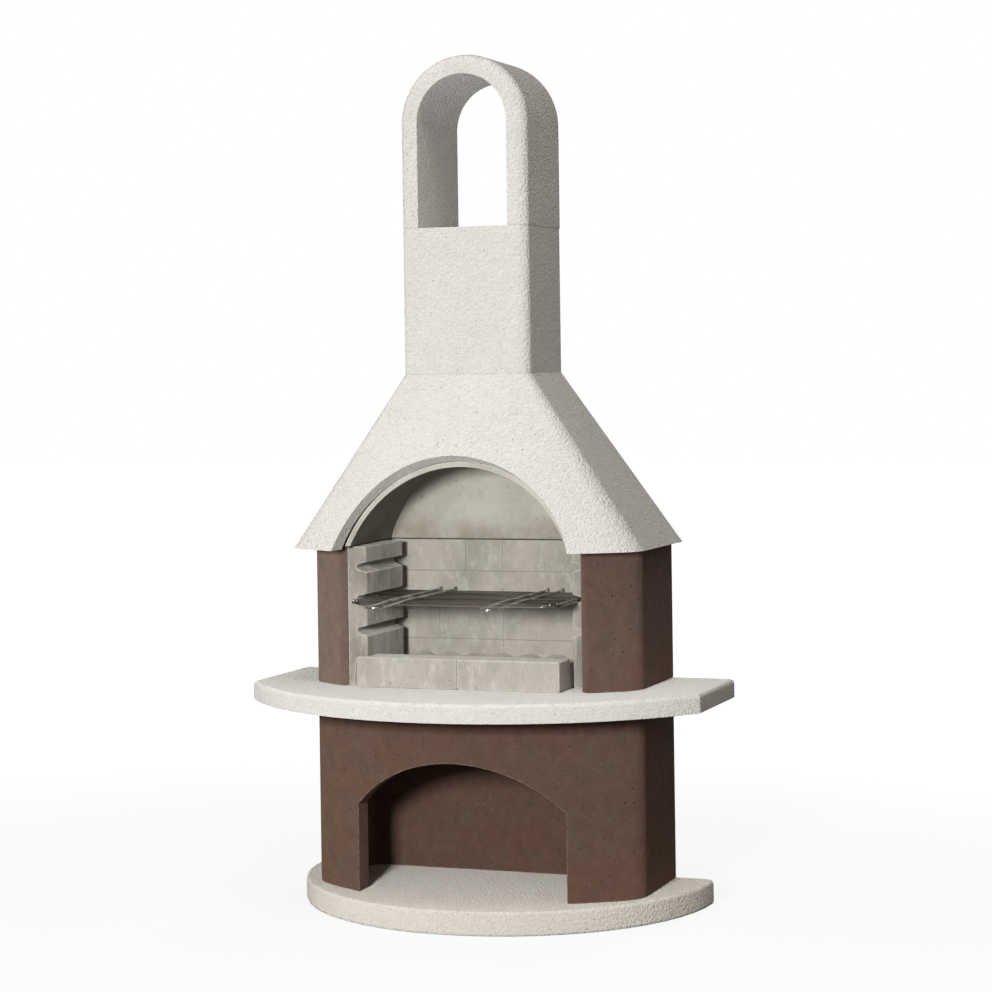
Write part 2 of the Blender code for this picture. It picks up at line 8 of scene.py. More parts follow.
import logging
import math
from dataclasses import dataclass, field
from enum import Enum
from typing import Iterable, Optional, Sequence, Union

import bmesh
import bpy
from mathutils import Matrix, Vector


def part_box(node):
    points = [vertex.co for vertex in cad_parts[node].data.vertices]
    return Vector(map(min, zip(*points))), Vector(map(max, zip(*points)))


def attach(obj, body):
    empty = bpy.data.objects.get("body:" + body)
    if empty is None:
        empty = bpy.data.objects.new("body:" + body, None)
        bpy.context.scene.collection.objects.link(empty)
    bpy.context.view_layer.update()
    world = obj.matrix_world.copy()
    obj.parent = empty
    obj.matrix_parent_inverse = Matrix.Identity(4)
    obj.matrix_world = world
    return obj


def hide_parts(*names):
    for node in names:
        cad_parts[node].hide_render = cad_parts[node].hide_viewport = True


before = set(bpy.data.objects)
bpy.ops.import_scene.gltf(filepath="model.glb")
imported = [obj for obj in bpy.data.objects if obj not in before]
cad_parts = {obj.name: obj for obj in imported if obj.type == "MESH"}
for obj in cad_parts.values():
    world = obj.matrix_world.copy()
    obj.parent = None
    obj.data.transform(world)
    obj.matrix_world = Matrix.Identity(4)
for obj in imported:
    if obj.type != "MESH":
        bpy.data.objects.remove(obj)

log = logging.getLogger("barbecue")
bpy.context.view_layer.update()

Number = Union[int, float]
Colour = tuple[float, float, float]
Point = tuple[float, float, float]

MERGE_GAP = 1e-5  # metres between corners of a solid that are one
FLAT_ANGLE = math.radians(0.3)  # faces that meet at less are one
CREASE_ANGLE = math.radians(38)  # edges of a block from this angle on are shaded sharp
WIRE_CREASE_ANGLE = math.radians(50)  # the same for the wire
NORMAL_WEIGHT = 80  # how far a block's broad faces pull the shading of its arrises


class Body(Enum):
    """The rigid bodies that pieces ride on."""

    MASONRY = "masonry"
    GRID = "grid"


class Slot(Enum):
    """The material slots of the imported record."""

    WHITE = "white_concrete"
    TABLE = "table_concrete"
    BROWN = "brown_concrete"
    FIRECLAY = "fireclay"
    CHROME = "chromed_wire"


class Socket:
    """An output of a shader node that takes part in Python expressions."""

    def __init__(self, graph: "Graph", source: bpy.types.NodeSocket) -> None:
        """Wrap an output socket.

        Args:
            graph: The graph that new nodes are added to.
            source: The output socket.
        """
        self.graph = graph
        self.source = source

    def _math(self, operation: str, first: "Value", second: "Value" = 0.0) -> "Socket":
        """Return a Math node's result.

        Args:
            operation: The name of the operation.
            first: The first operand.
            second: The second operand.

        Returns:
            The result.
        """
        return self.graph.node("ShaderNodeMath", {"operation": operation}, [first, second])[0]

    def __add__(self, other: "Value") -> "Socket":
        """Return self + other."""
        return self._math("ADD", self, other)

    def __radd__(self, other: "Value") -> "Socket":
        """Return other + self."""
        return self._math("ADD", other, self)

    def __sub__(self, other: "Value") -> "Socket":
        """Return self - other."""
        return self._math("SUBTRACT", self, other)

    def __rsub__(self, other: "Value") -> "Socket":
        """Return other - self."""
        return self._math("SUBTRACT", other, self)

    def __mul__(self, other: "Value") -> "Socket":
        """Return self * other."""
        return self._math("MULTIPLY", self, other)

    def __rmul__(self, other: "Value") -> "Socket":
        """Return other * self."""
        return self._math("MULTIPLY", other, self)

    def __lt__(self, other: "Value") -> "Socket":
        """Return 1 where self is less than other, and else 0."""
        return self._math("LESS_THAN", self, other)

    def __gt__(self, other: "Value") -> "Socket":
        """Return 1 where self is more than other, and else 0."""
        return self._math("GREATER_THAN", self, other)

    def most(self, other: "Value") -> "Socket":
        """Return the greater of self and other."""
        return self._math("MAXIMUM", self, other)

    def step(self, low: Number, high: Number) -> "Socket":
        """Make a smooth step that is 0 at low and 1 at high.

        Args:
            low: The value that gives 0. It may be the greater one.
            high: The value that gives 1.

        Returns:
            The step.
        """
        inputs = {"Value": self, "From Min": low, "From Max": high}
        return self.graph.node("ShaderNodeMapRange", {"interpolation_type": "SMOOTHSTEP"}, inputs)[0]

    def between(self, low: Number, high: Number) -> "Socket":
        """Return self, taken from 0 to 1, spread from low to high."""
        return self * (high - low) + low


Value = Union[Socket, Number, Sequence[Number]]


class Graph:
    """A node tree that is written as Python expressions."""

    def __init__(self, tree: bpy.types.NodeTree) -> None:
        """Take over a tree.

        Args:
            tree: The tree that nodes are added to.
        """
        self.tree = tree

    def feed(self, target: bpy.types.NodeSocket, value: Value) -> None:
        """Link or set an input.

        Args:
            target: The input socket.
            value: A socket to link, or a constant to set.
        """
        if isinstance(value, Socket):
            self.tree.links.new(value.source, target)
        else:
            target.default_value = value

    def node(self, kind: str, settings: dict, inputs: Union[dict, list],
             outputs: Optional[list[str]] = None) -> list[Socket]:
        """Add a node.

        Args:
            kind: The node's type.
            settings: Its properties.
            inputs: Its inputs, by place in a list or by name in a dictionary.
            outputs: The names of the outputs that are wanted, or None for the enabled ones.

        Returns:
            The outputs.
        """
        made = self.tree.nodes.new(kind)
        for name, value in settings.items():
            setattr(made, name, value)
        enabled = [one for one in made.inputs if one.enabled]
        pairs = zip(enabled, inputs) if isinstance(inputs, list) else (
            (next(one for one in enabled if one.name == name), value) for name, value in inputs.items())
        for target, value in pairs:
            self.feed(target, value)
        if outputs is None:
            return [Socket(self, one) for one in made.outputs if one.enabled]
        return [Socket(self, made.outputs[name]) for name in outputs]

    def camera_ray(self) -> Socket:
        """Return 1 for what the camera sees by itself, and else 0."""
        return self.node("ShaderNodeLightPath", {}, {}, ["Is Camera Ray"])[0]


class Surface(Graph):
    """A material's node tree, with its pattern in object coordinates."""

    def __init__(self, name: str) -> None:
        """Make a material with a bare shader.

        Args:
            name: The material's name.
        """
        self.material = bpy.data.materials.new(name)
        self.material.use_nodes = True
        super().__init__(self.material.node_tree)
        self.shader = self.tree.nodes["Principled BSDF"]
        self.place = self.node("ShaderNodeTexCoord", {}, {}, ["Object"])[0]

    def moved(self, stretch: Point = (1, 1, 1), shift: Point = (0, 0, 0)) -> Socket:
        """Return the object coordinates, stretched and then shifted.

        Args:
            stretch: The factors along X, Y and Z.
            shift: How far they are moved after that.

        Returns:
            The coordinates.
        """
        stretched = self.node("ShaderNodeVectorMath", {"operation": "MULTIPLY"}, [self.place, stretch])[0]
        return self.node("ShaderNodeVectorMath", {"operation": "ADD"}, [stretched, shift])[0]

    def noise(self, size: float, detail: float = 2.0, rough: float = 0.5,
              place: Optional[Socket] = None, warp: float = 0.0) -> Socket:
        """Return a noise from 0 to 1.

        Args:
            size: The width of a blotch in metres.
            detail: The number of finer layers.
            rough: The weight of the finer layers.
            place: The coordinates, or None for those of the object.
            warp: The distortion.

        Returns:
            The noise.
        """
        inputs = {"Vector": place or self.place, "Scale": 1 / size, "Detail": detail,
                  "Roughness": rough, "Distortion": warp}
        return self.node("ShaderNodeTexNoise", {}, inputs, ["Fac"])[0]

    def cells(self, size: float, place: Optional[Socket] = None) -> tuple[Socket, Socket]:
        """Return a cell pattern.

        Args:
            size: The width of a cell in metres.
            place: The coordinates, or None for those of the object.

        Returns:
            The distance in cell widths, and a value from 0 to 1 for each cell.
        """
        inputs = {"Vector": place or self.place, "Scale": 1 / size}
        distance, colour = self.node("ShaderNodeTexVoronoi", {}, inputs, ["Distance", "Color"])
        tone = self.node("ShaderNodeSeparateColor", {}, [colour])[0]
        return distance, tone

    def attribute(self, name: str) -> Socket:
        """Return a mesh attribute's value."""
        return self.node("ShaderNodeAttribute", {"attribute_name": name}, {}, ["Fac"])[0]

    def mix(self, share: Value, first: Value, second: Value) -> Socket:
        """Return a mix of two colours.

        Args:
            share: The share of the second colour.
            first: The first colour.
            second: The second colour.

        Returns:
            The colour.
        """
        opaque = [(*one, 1.0) if isinstance(one, tuple) and len(one) == 3 else one for one in (first, second)]
        settings = {"data_type": "RGBA", "clamp_factor": True}
        return self.node("ShaderNodeMix", settings, [share, *opaque])[0]

    def scaled(self, colour: Value, factor: Value) -> Socket:
        """Return a colour times a number."""
        inputs = {"Vector": colour, "Scale": factor}
        return self.node("ShaderNodeVectorMath", {"operation": "SCALE"}, inputs)[0]

    def bump(self, height: Socket, distance: float) -> Socket:
        """Return a normal that follows a height, of which 1 stands for a distance in metres."""
        return self.node("ShaderNodeBump", {}, {"Strength": 1.0, "Distance": distance, "Height": height})[0]

    def dress(self, **inputs: Value) -> bpy.types.Material:
        """Feed the shader.

        Args:
            inputs: The shader's inputs, with underscores for spaces.

        Returns:
            The material.
        """
        for name, value in inputs.items():
            if isinstance(value, tuple) and len(value) == 3:
                value = (*value, 1.0)
            self.feed(self.shader.inputs[name.replace("_", " ")], value)
        return self.material


def darker(colour: Colour, share: float) -> Colour:
    """Return a share of a colour."""
    return tuple(share * channel for channel in colour)


@dataclass(frozen=True)
class Aggregate:
    """Cast concrete with its sand and stones laid bare.

    Attributes:
        name: The material's name.
        slot: The record's slot; not used.
        colour: The mean colour.
        tint: The colour of the blotches.
        stone: The colour of the dark grains.
        grain: The width of a grain in metres.
        sand: The width of the sand's texture in metres.
        lump: The width of the lumps in metres.
        shaded_pit: The width of a cell that may hold a pit, painted dark as shade, in metres.
        relief: The depth of the sandy surface in metres.
        stones: The share of the grains that are dark.
        shaded_pits: The share of the larger cells that hold a pit, painted dark as shade.
        rough: The roughness.
        edge: The colour of the worn arrises.
    """

    name: str
    slot: Slot
    colour: Colour
    tint: Colour
    stone: Colour
    grain: float = 0.0068
    sand: float = 0.0055
    lump: float = 0.0125
    shaded_pit: float = 0.013
    relief: float = 0.0052
    stones: float = 0.1
    shaded_pits: float = 0.14
    rough: float = 0.92
    edge: Colour = (0.86, 0.84, 0.8)

    def build(self) -> bpy.types.Material:
        """Build the finish.

        Returns:
            The material.
        """
        graph = Surface(self.name)
        broad = graph.noise(0.35, 3, 0.55)
        patch = graph.noise(0.06, 4, 0.6, warp=0.4)
        sand = graph.noise(self.sand, 4, 0.7)
        lump = graph.noise(self.lump, 4, 0.62)
        distance, tone = graph.cells(self.grain)
        pit_distance, pit_tone = graph.cells(self.shaded_pit, graph.moved(shift=(3.1, 1.7, 0.4)))
        crowd = graph.noise(0.16, 2, 0.5, graph.moved(shift=(7.3, 2.9, 5.1))).step(0.38, 0.66)

        colour = graph.mix(broad.step(0.3, 0.75) * 0.5 + patch.step(0.35, 0.8) * 0.35, self.colour, self.tint)
        mottle = lump.step(0.3, 0.6).between(0.975, 1.01)
        colour = graph.scaled(colour, tone.between(0.965, 1.02) * sand.between(0.95, 1.04) * mottle)
        dark = (tone > 1 - self.stones) * distance.step(0.4, 0.2) * sand.between(0.15, 0.75)
        colour = graph.mix(dark, colour, self.stone)
        shaded_pit = (pit_tone < self.shaded_pits * crowd.between(0.1, 2.2)) * (pit_distance + sand * 0.12).step(0.2, 0.12)
        # Painted shade: the pits are darkened.
        colour = graph.mix(shaded_pit * 0.8, colour, darker(self.stone, 0.25))
        worn = graph.attribute("wear") * lump.step(0.38, 0.6)
        colour = graph.mix(worn * 0.6, colour, self.edge)

        height = sand * 0.6 + lump * 0.35 - distance * 0.8 - dark * 0.8 - shaded_pit
        normal = graph.bump(height, self.relief)
        return graph.dress(Base_Color=colour, Roughness=sand.between(self.rough - 0.06, self.rough + 0.04),
                           Normal=normal, Specular_IOR_Level=0.25, Diffuse_Roughness=1.0)


@dataclass(frozen=True)
class Pigmented:
    """Smooth cast concrete, coloured through, with blow holes and a cloudy skin.

    Attributes:
        name: The material's name.
        slot: The record's slot; not used.
        colour: The mean colour.
        warm: The colour of the reddish clouds.
        cool: The colour of the olive clouds.
        edge: The colour of the worn arrises.
        rough: The roughness.
        hole: The width of a cell that may hold a blow hole, in metres.
        holes: The share of those cells that hold one.
        pin: The width of a cell that may hold a pinhole, in metres.
        pins: The share of those cells that hold one.
        relief: The depth of the surface in metres.
    """

    name: str
    slot: Slot
    colour: Colour
    warm: Colour
    cool: Colour
    edge: Colour
    rough: float = 0.78
    hole: float = 0.017
    holes: float = 0.24
    pin: float = 0.0075
    pins: float = 0.2
    relief: float = 0.0022

    def build(self) -> bpy.types.Material:
        """Build the finish.

        Returns:
            The material.
        """
        graph = Surface(self.name)
        broad = graph.noise(0.22, 3, 0.6, warp=0.5)
        clouds = graph.noise(0.045, 4, 0.6, graph.moved(shift=(1.3, 4.4, 2.2)))
        streaks = graph.noise(0.03, 4, 0.62, graph.moved((1.0, 1.0, 0.8), (5.5, 0.7, 3.0)), warp=0.3)
        sand = graph.noise(0.0025, 3, 0.6)
        lump = graph.noise(0.011, 3, 0.55)
        distance, tone = graph.cells(self.hole)
        small_distance, small_tone = graph.cells(self.pin, graph.moved(shift=(2.2, 8.1, 0.9)))

        colour = graph.mix(broad.step(0.35, 0.7) * 0.9, self.colour, self.warm)
        colour = graph.mix(clouds.step(0.45, 0.72) * 0.7, colour, self.cool)
        colour = graph.scaled(colour, streaks.between(0.72, 1.28) * sand.between(0.82, 1.18))
        reach = distance + lump * 0.12
        hole = (tone < self.holes) * reach.step(0.24, 0.16)
        rim = (tone < self.holes) * reach.step(0.36, 0.26)
        pin = (small_tone < self.pins) * small_distance.step(0.22, 0.12)
        shaded_pits = hole.most(pin)
        speck = (small_tone > 0.9) * small_distance.step(0.24, 0.12) * 0.4
        colour = graph.mix((rim * 0.3).most(speck), colour, self.edge)
        # Painted shade: the blow holes and pinholes are darkened.
        colour = graph.mix(shaded_pits * 0.8, colour, darker(self.colour, 0.2))
        worn = graph.attribute("wear") * lump.step(0.35, 0.62)
        colour = graph.mix(worn * 0.65, colour, self.edge)

        height = sand * 0.3 + lump * 0.6 - shaded_pits * 1.3 + rim * 0.3
        normal = graph.bump(height, self.relief)
        return graph.dress(Base_Color=colour, Roughness=clouds.between(self.rough - 0.1, self.rough + 0.1),
                           Normal=normal, Specular_IOR_Level=0.1, Diffuse_Roughness=1.0)


@dataclass(frozen=True)
class Refractory:
    """Dusty fireclay with trowel marks, lime smears and chipped arrises.

    Attributes:
        name: The material's name.
        slot: The record's slot; not used.
        colour: The mean colour.
        shade: The colour of the stains, and of the painted shade.
        lime: The colour of the pale smears.
        streak: The stretch of the smears along X, Y and Z.
        rough: The roughness.
        pores: The share of the cells that hold a pore, which is painted dark as shade.
        blotch: How far the stains cover the colour.
        gap_shade_height: The height of the gap under the vault, along which shade is painted as a dark line.
        darkening: The heights between which the colour grows darker downwards.
        shaded_pit: The width of a cell that may hold a pit, painted dark as shade, in metres.
        shaded_chip: The width of a cell that may hold a chip, painted dark as shade, in metres.
        relief: The depth of the surface in metres.
    """

    name: str
    slot: Slot
    colour: Colour
    shade: Colour
    lime: Colour
    streak: Point = (1.0, 1.0, 1.0)
    rough: float = 0.9
    pores: float = 0.02
    blotch: float = 0.8
    gap_shade_height: float = -1.0
    darkening: tuple[float, float] = (-2.0, -1.0)
    shaded_pit: float = 0.012
    shaded_chip: float = 0.009
    relief: float = 0.0026

    def build(self) -> bpy.types.Material:
        """Build the finish.

        Returns:
            The material.
        """
        graph = Surface(self.name)
        broad = graph.noise(0.13, 3, 0.55)
        smear = graph.noise(0.022, 5, 0.68, graph.moved(self.streak, (4.2, 0.3, 1.9)), warp=0.2)
        scratch = graph.noise(0.006, 4, 0.7, graph.moved(self.streak, (0.4, 6.1, 2.7)))
        sand = graph.noise(0.002, 3, 0.6)
        lump = graph.noise(0.01, 3, 0.6)
        distance, tone = graph.cells(self.shaded_pit, graph.moved(shift=(6.6, 3.2, 1.1)))

        level = graph.node("ShaderNodeSeparateXYZ", {}, [graph.place])[2]
        colour = graph.mix(broad.step(0.35, 0.7) * self.blotch, self.colour, self.shade)
        # Darker towards the bottom, between the two heights.
        low, high = self.darkening
        colour = graph.mix(level.step(high, low) * broad.step(0.2, 0.6) * 0.8, colour, self.shade)
        colour = graph.mix(smear.step(0.46, 0.7) * self.blotch * 0.85, colour, self.lime)
        colour = graph.mix(scratch.step(0.56, 0.72) * self.blotch * 0.55, colour, self.lime)
        colour = graph.scaled(colour, sand.between(0.9, 1.1) * lump.between(0.92, 1.08))
        shaded_pit = (tone < 0.18) * distance.step(0.12, 0.05)
        # Painted shade: the pits are darkened.
        colour = graph.mix(shaded_pit * 0.7, colour, darker(self.shade, 0.3))
        wear = graph.attribute("wear")
        colour = graph.mix(wear * lump.step(0.3, 0.5) * 0.7, colour, self.lime)
        chip_distance, chip_tone = graph.cells(self.shaded_chip, graph.moved(shift=(1.9, 5.2, 3.7)))
        shaded_chip = (chip_tone < wear.between(self.pores, 0.4)) * (chip_distance + lump * 0.2).step(0.36, 0.2)
        # Painted shade: the pores and chips are darkened.
        colour = graph.mix(shaded_chip * 0.75, colour, darker(self.shade, 0.35))
        # Painted shade: the scored grooves are darkened.
        groove_shade = graph.attribute("groove_shade")
        colour = graph.mix(groove_shade * scratch.between(0.0, 0.85), colour, darker(self.shade, 0.5))
        # Soot and painted shade darken the inside of the arch.
        soot_and_shade = graph.attribute("soot_and_shade") * broad.between(0.75, 1.1)
        colour = graph.mix(soot_and_shade, colour, darker(self.shade, 0.3))
        # Painted shade: a dark line along the gap under the vault.
        gap_shade = level.step(self.gap_shade_height + 0.005, self.gap_shade_height + 0.0025)
        colour = graph.mix(gap_shade * 0.9, colour, darker(self.shade, 0.12))

        height = sand * 0.25 + lump * 0.7 + scratch * 0.5 - shaded_pit * 1.2 - shaded_chip * 0.8
        normal = graph.bump(height, self.relief)
        return graph.dress(Base_Color=colour, Roughness=sand.between(self.rough - 0.05, self.rough + 0.05),
                           Normal=normal, Specular_IOR_Level=0.2, Diffuse_Roughness=1.0)


@dataclass(frozen=True)
class Chrome:
    """Drawn and plated wire with a faint tarnish and painted dark reflections, and a painted highlight on its
    handles and welds.

    Attributes:
        name: The material's name.
        slot: The record's slot; not used.
        colour: The plating's colour.
        tarnish_and_reflection: The colour of the heat stains and of the painted dark reflections.
        highlight: The colour of the handles and the welds, a painted highlight.
        rough: The roughness.
        relief: The depth of the drawing marks in metres.
    """

    name: str
    slot: Slot
    colour: Colour
    tarnish_and_reflection: Colour
    bright: Colour = (0.92, 0.91, 0.89)
    rough: float = 0.14
    relief: float = 0.00012

    def build(self) -> bpy.types.Material:
        """Build the finish.

        Returns:
            The material.
        """
        graph = Surface(self.name)
        darkening = graph.noise(0.05, 3, 0.6, graph.moved((0.25, 1.0, 1.0)))
        drawn = graph.noise(0.0016, 2, 0.6)
        polish_and_highlight = graph.attribute("polish_and_highlight")
        # Tarnish and painted dark reflections darken the wire away from the handles and welds.
        colour = graph.mix(darkening.step(0.35, 0.7) * (0.95 - polish_and_highlight * 0.95), self.colour, self.tarnish_and_reflection)
        # Painted highlight: the handles and weld beads are brightened.
        colour = graph.mix(polish_and_highlight * 0.8, colour, self.bright)
        normal = graph.bump(drawn + darkening * 0.5, self.relief)
        return graph.dress(Base_Color=colour, Metallic=1.0, Normal=normal,
                           Roughness=darkening.between(self.rough - 0.06, self.rough + 0.12) - polish_and_highlight * 0.05)


Finish = Union[Aggregate, Pigmented, Refractory, Chrome]

WHITE = Aggregate(
    "washed_white_concrete", Slot.WHITE,
    colour=(0.81, 0.795, 0.77), tint=(0.76, 0.74, 0.71), stone=(0.36, 0.32, 0.28))
TABLE = Aggregate(
    "table_concrete", Slot.TABLE,
    colour=(0.79, 0.78, 0.755), tint=(0.73, 0.715, 0.685), stone=(0.34, 0.32, 0.29), relief=0.0028, shaded_pits=0.12)
BASE = Aggregate(
    "washed_base_concrete", Slot.WHITE,
    colour=(0.83, 0.8, 0.745), tint=(0.77, 0.735, 0.67), stone=(0.35, 0.31, 0.26), relief=0.004)
BROWN = Pigmented(
    "brown_concrete", Slot.BROWN,
    colour=(0.168, 0.112, 0.09), warm=(0.18, 0.104, 0.084), cool=(0.15, 0.115, 0.088),
    edge=(0.27, 0.215, 0.185))
PALE_BROWN = Pigmented(
    "brown_concrete_pale", Slot.BROWN,
    colour=(0.222, 0.168, 0.142), warm=(0.235, 0.158, 0.13), cool=(0.2, 0.168, 0.135),
    edge=(0.36, 0.31, 0.28))
STORE_BROWN = Pigmented(
    "brown_concrete_store", Slot.BROWN,
    colour=(0.168, 0.106, 0.081), warm=(0.182, 0.098, 0.073), cool=(0.145, 0.112, 0.08),
    edge=(0.28, 0.21, 0.175))
LINING = Refractory(
    "fireclay", Slot.FIRECLAY,
    colour=(0.62, 0.59, 0.53), shade=(0.45, 0.43, 0.38), lime=(0.72, 0.705, 0.67), streak=(1.0, 1.0, 0.5))
CURB = Refractory(
    "fireclay_curb", Slot.FIRECLAY,
    colour=(0.57, 0.55, 0.505), shade=(0.49, 0.465, 0.415), lime=(0.72, 0.705, 0.67), streak=(1.0, 1.0, 0.3),
    pores=0.04)
SIDE_LINING = Refractory(
    "fireclay_side", Slot.FIRECLAY,
    colour=(0.5, 0.475, 0.42), shade=(0.3, 0.28, 0.235), lime=(0.68, 0.66, 0.62), streak=(1.0, 1.0, 0.2))
VAULT = Refractory(
    "fireclay_vault", Slot.FIRECLAY,
    colour=(0.7, 0.68, 0.62), shade=(0.42, 0.385, 0.315), lime=(0.72, 0.7, 0.66), pores=0.07, blotch=0.35,
    gap_shade_height=0.9443, darkening=(0.955, 1.03))
WIRE = Chrome("chromed_wire", Slot.CHROME, colour=(0.56, 0.55, 0.53), tarnish_and_reflection=(0.12, 0.115, 0.105))


class Workshop:
    """Makes finished pieces and hands each material out once."""

    def __init__(self) -> None:
        """Start with no materials."""
        self.materials: dict[str, bpy.types.Material] = {}

    def material(self, finish: Finish) -> bpy.types.Material:
        """Return a finish's material, built at its first use.

        Args:
            finish: The finish.

        Returns:
            The material.
        """
        if finish.name not in self.materials:
            self.materials[finish.name] = finish.build()
        return self.materials[finish.name]

    def deliver(self, name: str, mesh: bpy.types.Mesh, finish: Finish, body: Body,
                nodes: Iterable[str]) -> bpy.types.Object:
        """Make an object that stands for solids of the frame.

        Args:
            name: The piece's name.
            mesh: Its mesh in the frame's coordinates.
            finish: Its finish.
            body: The body that it rides on.
            nodes: The solids that it replaces.

        Returns:
            The object.
        """
        piece = bpy.data.objects.new(name, mesh)
        bpy.context.scene.collection.objects.link(piece)
        mesh.materials.clear()
        mesh.materials.append(self.material(finish))
        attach(piece, body.value)
        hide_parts(*nodes)
        log.info("%s: %d faces on %s", name, len(mesh.polygons), body.value)
        return piece


@dataclass
class Casting:
    """A cast block, worked over from its solid.

    Attributes:
        node: The solid's name.
        finish: The block's finish.
        arris: The width of the eased arrises in metres.
        steps: The faces across an eased arris.
        sharp: The least angle in degrees of an edge that is eased.
        scored: Whether lines are scored into its front.
        sooty_and_shaded: Whether the inside of its arch is darkened by soot and by painted shade.
        margin: How far from the ends, and how deep, scored lines can lie.
        depth: The least depth of a scored line.
        soot_and_shade_darkness: How dark the soot and the painted shade make it.
    """

    node: str
    finish: Finish
    arris: float = 0.003
    steps: int = 3
    sharp: float = 50.0
    scored: bool = False
    sooty_and_shaded: bool = False
    margin: float = 0.006
    depth: float = 0.0003
    soot_and_shade_darkness: float = 0.75

    def in_line(self, middle: Vector, low: Vector, high: Vector) -> bool:
        """Return whether a face lies in a line that is scored into the front.

        Args:
            middle: The face's middle.
            low: The block's lowest X, Y and Z.
            high: The block's highest X, Y and Z.

        Returns:
            Whether it does.
        """
        within = all(low[axis] + self.margin < middle[axis] < high[axis] - self.margin for axis in (0, 2))
        return self.scored and within and low.y + self.depth < middle.y < low.y + self.margin

    def in_soot_and_shade(self, face: bmesh.types.BMFace, foot: float) -> bool:
        """Return whether a face is a part of the arch's inside, which looks towards its middle and gets soot
        and painted shade.

        Args:
            face: A face of the block.
            foot: The height of the arch's foot.

        Returns:
            Whether it is.
        """
        middle = face.calc_center_median()
        inwards = Vector((-middle.x, 0, foot - middle.z)).normalized()
        return self.sooty_and_shaded and abs(face.normal.y) < 0.5 and face.normal.dot(inwards) > 0.3

    def mesh(self) -> bpy.types.Mesh:
        """Work over a merged copy of the solid.

        Returns:
            The mesh, with eased arrises and the face attributes for wear, for the painted shade in the scored
            grooves, and for the soot and painted shade inside the arch.
        """
        work = bmesh.new()
        work.from_mesh(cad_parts[self.node].data)
        wear, groove_shade, soot_and_shade = (work.faces.layers.float.new(name) for name in ("wear", "groove_shade", "soot_and_shade"))
        bmesh.ops.remove_doubles(work, verts=work.verts, dist=MERGE_GAP)
        bmesh.ops.dissolve_limit(work, angle_limit=FLAT_ANGLE, verts=work.verts, edges=work.edges)
        limit = math.radians(self.sharp)
        edges = [edge for edge in work.edges if edge.is_manifold and edge.calc_face_angle() > limit]
        made = bmesh.ops.bevel(work, geom=edges, offset=self.arris, offset_type="OFFSET", affect="EDGES",
                               segments=self.steps, profile=0.5, material=-1, clamp_overlap=True)
        eased = set(made["faces"])
        low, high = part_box(self.node)
        for face in work.faces:
            face.smooth = True
            in_line = self.in_line(face.calc_center_median(), low, high)
            face[wear] = float(face in eased and not in_line)
            face[groove_shade] = float(in_line)
            face[soot_and_shade] = self.soot_and_shade_darkness * self.in_soot_and_shade(face, low.z)
        mesh = bpy.data.meshes.new(self.node + "_block")
        work.to_mesh(mesh)
        work.free()
        mesh.set_sharp_from_angle(angle=CREASE_ANGLE)
        return mesh

    def build(self, shop: Workshop) -> bpy.types.Object:
        """Return the finished block.

        Args:
            shop: The workshop that delivers it.

        Returns:
            The object.
        """
        piece = shop.deliver(self.node + "_block", self.mesh(), self.finish, Body.MASONRY, [self.node])
        normals = piece.modifiers.new("Weighted normals", "WEIGHTED_NORMAL")
        normals.keep_sharp = True
        normals.weight = NORMAL_WEIGHT
        return piece


@dataclass
class Course:
    """A sub-assembly of cast blocks.

    Attributes:
        name: What the log calls it.
        castings: Its blocks from the ground up.
    """

    name: str
    castings: list[Casting]

    def build(self, shop: Workshop) -> None:
        """Build the blocks.

        Args:
            shop: The workshop that delivers them.
        """
        for casting in self.castings:
            casting.build(shop)
        log.info("%s: %d blocks", self.name, len(self.castings))


@dataclass
class Wire:
    """A length of round wire.

    Attributes:
        points: Its centre line.
        radius: Its radius in metres.
        closed: Whether its ends meet.
    """

    points: list[Point]
    radius: float
    closed: bool = False


